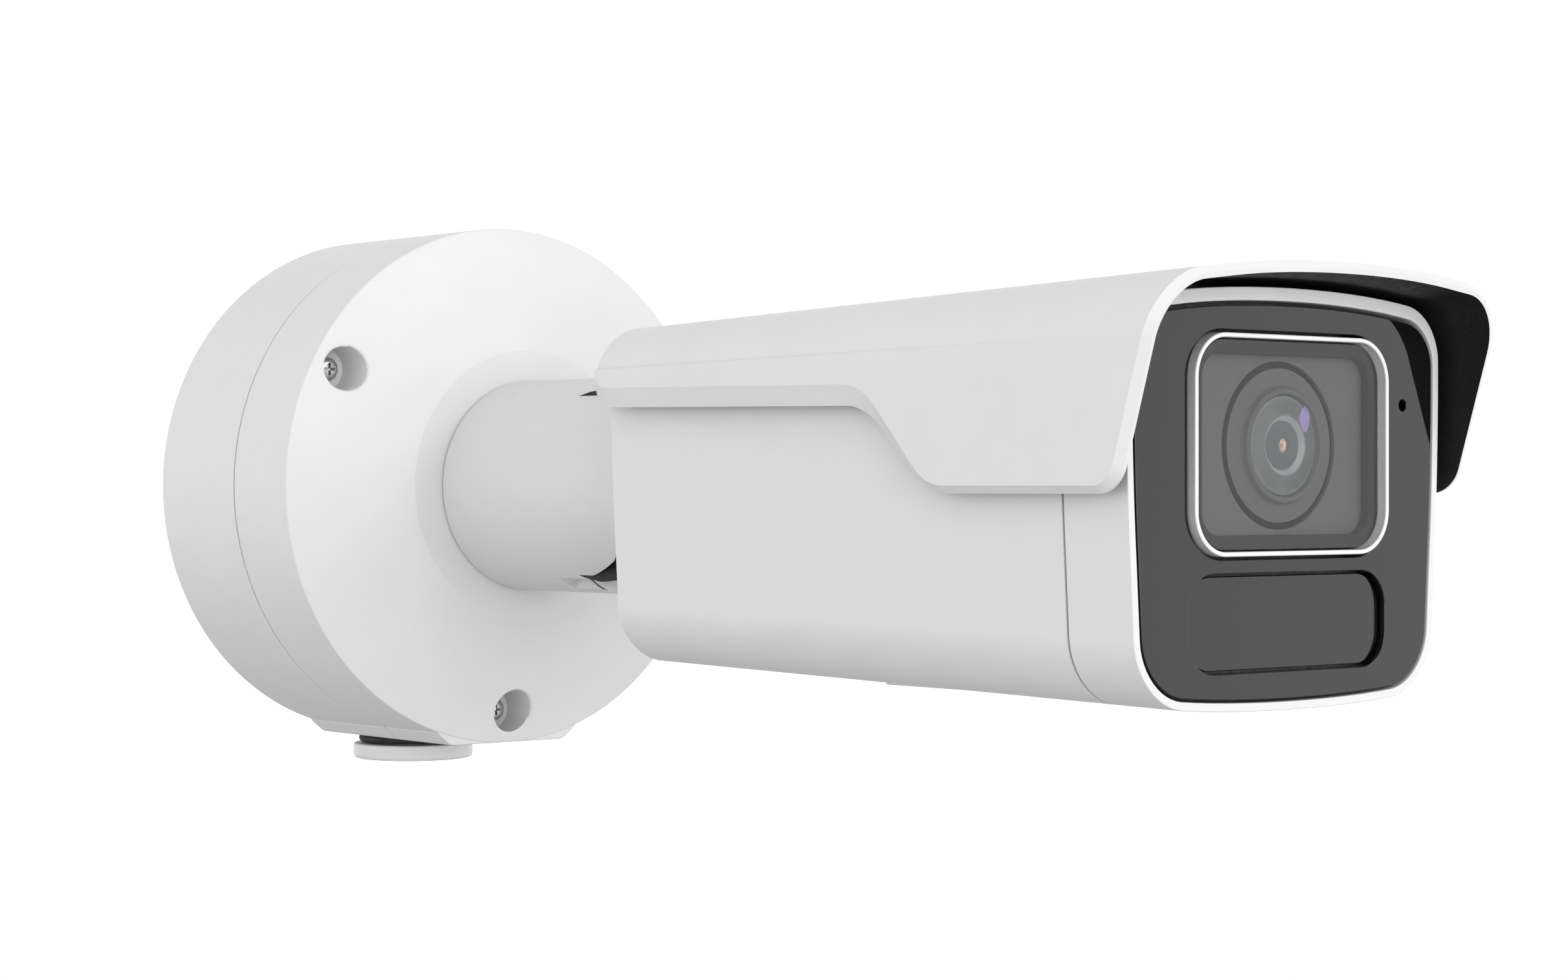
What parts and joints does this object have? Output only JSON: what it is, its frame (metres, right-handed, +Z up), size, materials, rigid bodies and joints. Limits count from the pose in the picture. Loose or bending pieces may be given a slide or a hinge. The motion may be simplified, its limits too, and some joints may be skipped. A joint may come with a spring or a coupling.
{
  "type": "bullet security camera",
  "caption": "Bullet security camera with a zoom lens behind a flat window, a sliding sunshield and a three-axis arm on a round junction box.",
  "frame": {"origin": "centre of the junction box's flat back face, in the plane of the wall", "axes": "+Z up; +Y into the wall, out of the back face; the lens looks along -Y; +X to the right of somebody facing the wall"},
  "size_m": [0.13, 0.3342, 0.1365],
  "materials": {
    "white_enamel": "satin white powder coat on die-cast aluminium",
    "bezel_enamel": "smooth white ring with a silver-grey side",
    "black_rubber": "matt black sealing rubber",
    "stainless_steel": "bright stainless steel",
    "smoked_panel": "polished smoke-grey polycarbonate",
    "window_frame_black": "matt dark grey",
    "mask_grey": "matt grey light baffle",
    "window_glass": "clear flat glass",
    "lens_glass": "coated optical glass",
    "black_plastic": "matt black moulded plastic",
    "emitter_resin": "dark clear resin",
    "circuit_board": "green solder resist",
    "bare_aluminium": "plain sheet and cast aluminium"
  },
  "bodies": {
    "junction_box": {"rear_shell": "white_enamel", "front_shell": "white_enamel", "box_gasket": "black_rubber", "cover_screw_1": "stainless_steel", "cover_screw_2": "stainless_steel", "cover_screw_3": "stainless_steel", "conduit_plug": "white_enamel", "plug_o_ring": "black_rubber", "cable_grommet": "black_rubber"},
    "arm": {"arm": "white_enamel", "pan_washer": "black_plastic", "pan_ring": "stainless_steel", "friction_disc_left": "black_rubber", "friction_disc_right": "black_rubber", "tilt_bolt": "stainless_steel"},
    "knuckle": {"knuckle": "white_enamel", "swivel_ring": "stainless_steel"},
    "camera": {"main_housing": "white_enamel", "swivel_seal": "black_rubber", "front_gasket": "black_rubber", "front_frame": "white_enamel", "front_panel": "smoked_panel", "window_bezel": "bezel_enamel", "window_frame": "window_frame_black", "lens_window": "window_glass", "lens_mask": "mask_grey", "ir_window": "smoked_panel", "ir_board": "circuit_board", "ir_led_1": "emitter_resin", "ir_led_2": "emitter_resin", "ir_led_3": "emitter_resin", "microphone": "black_plastic", "chassis": "bare_aluminium", "lens_barrel": "black_plastic", "front_element": "lens_glass", "lens_base": "black_plastic", "guide_rod_left": "stainless_steel", "guide_rod_right": "stainless_steel", "zoom_motor": "stainless_steel", "focus_motor": "stainless_steel", "zoom_screw": "stainless_steel", "focus_screw": "stainless_steel", "sensor_board": "circuit_board", "main_board": "circuit_board", "heat_spreader": "bare_aluminium", "power_board": "circuit_board", "memory_card": "black_plastic", "service_hatch": "white_enamel", "hatch_gasket": "black_rubber", "hatch_screw_1": "stainless_steel", "hatch_screw_2": "stainless_steel", "hood_screw_1": "stainless_steel", "hood_screw_2": "stainless_steel"},
    "sunshield": {"sunshield": "white_enamel"},
    "zoom_group": {"zoom_carriage": "black_plastic", "zoom_element": "lens_glass"},
    "focus_group": {"focus_carriage": "black_plastic", "focus_element": "lens_glass"},
    "filter_changer": {"filter_slide": "black_plastic"},
    "reset_button": {"reset_button": "black_plastic"}
  },
  "joints": [
    {"name": "pan", "type": "hinge", "parent": "junction_box", "child": "arm", "pos_m": [0, -0.0696, 0], "axis": [0, 1, 0], "range_deg": [-180, 180]},
    {"name": "tilt", "type": "hinge", "parent": "arm", "child": "knuckle", "pos_m": [0, -0.12, 0], "axis": [1, 0, 0], "range_deg": [0, 90]},
    {"name": "rotate", "type": "hinge", "parent": "knuckle", "child": "camera", "pos_m": [0, -0.1525, 0.0038], "axis": [0, 1, 0], "range_deg": [-180, 180]},
    {"name": "hood_slide", "type": "slide", "parent": "camera", "child": "sunshield", "axis": [0, -1, 0], "range_m": [-0.01, 0.015]},
    {"name": "zoom_travel", "type": "slide", "parent": "camera", "child": "zoom_group", "axis": [0, 1, 0], "range_m": [0, 0.0105]},
    {"name": "focus_travel", "type": "slide", "parent": "camera", "child": "focus_group", "axis": [0, 1, 0], "range_m": [-0.003, 0.003]},
    {"name": "filter_change", "type": "slide", "parent": "camera", "child": "filter_changer", "axis": [1, 0, 0], "range_m": [0, 0.013]},
    {"name": "reset_press", "type": "slide", "parent": "camera", "child": "reset_button", "axis": [0, 0, 1], "range_m": [0, 0.0005], "stiffness_N_per_m": 600}
  ]
}
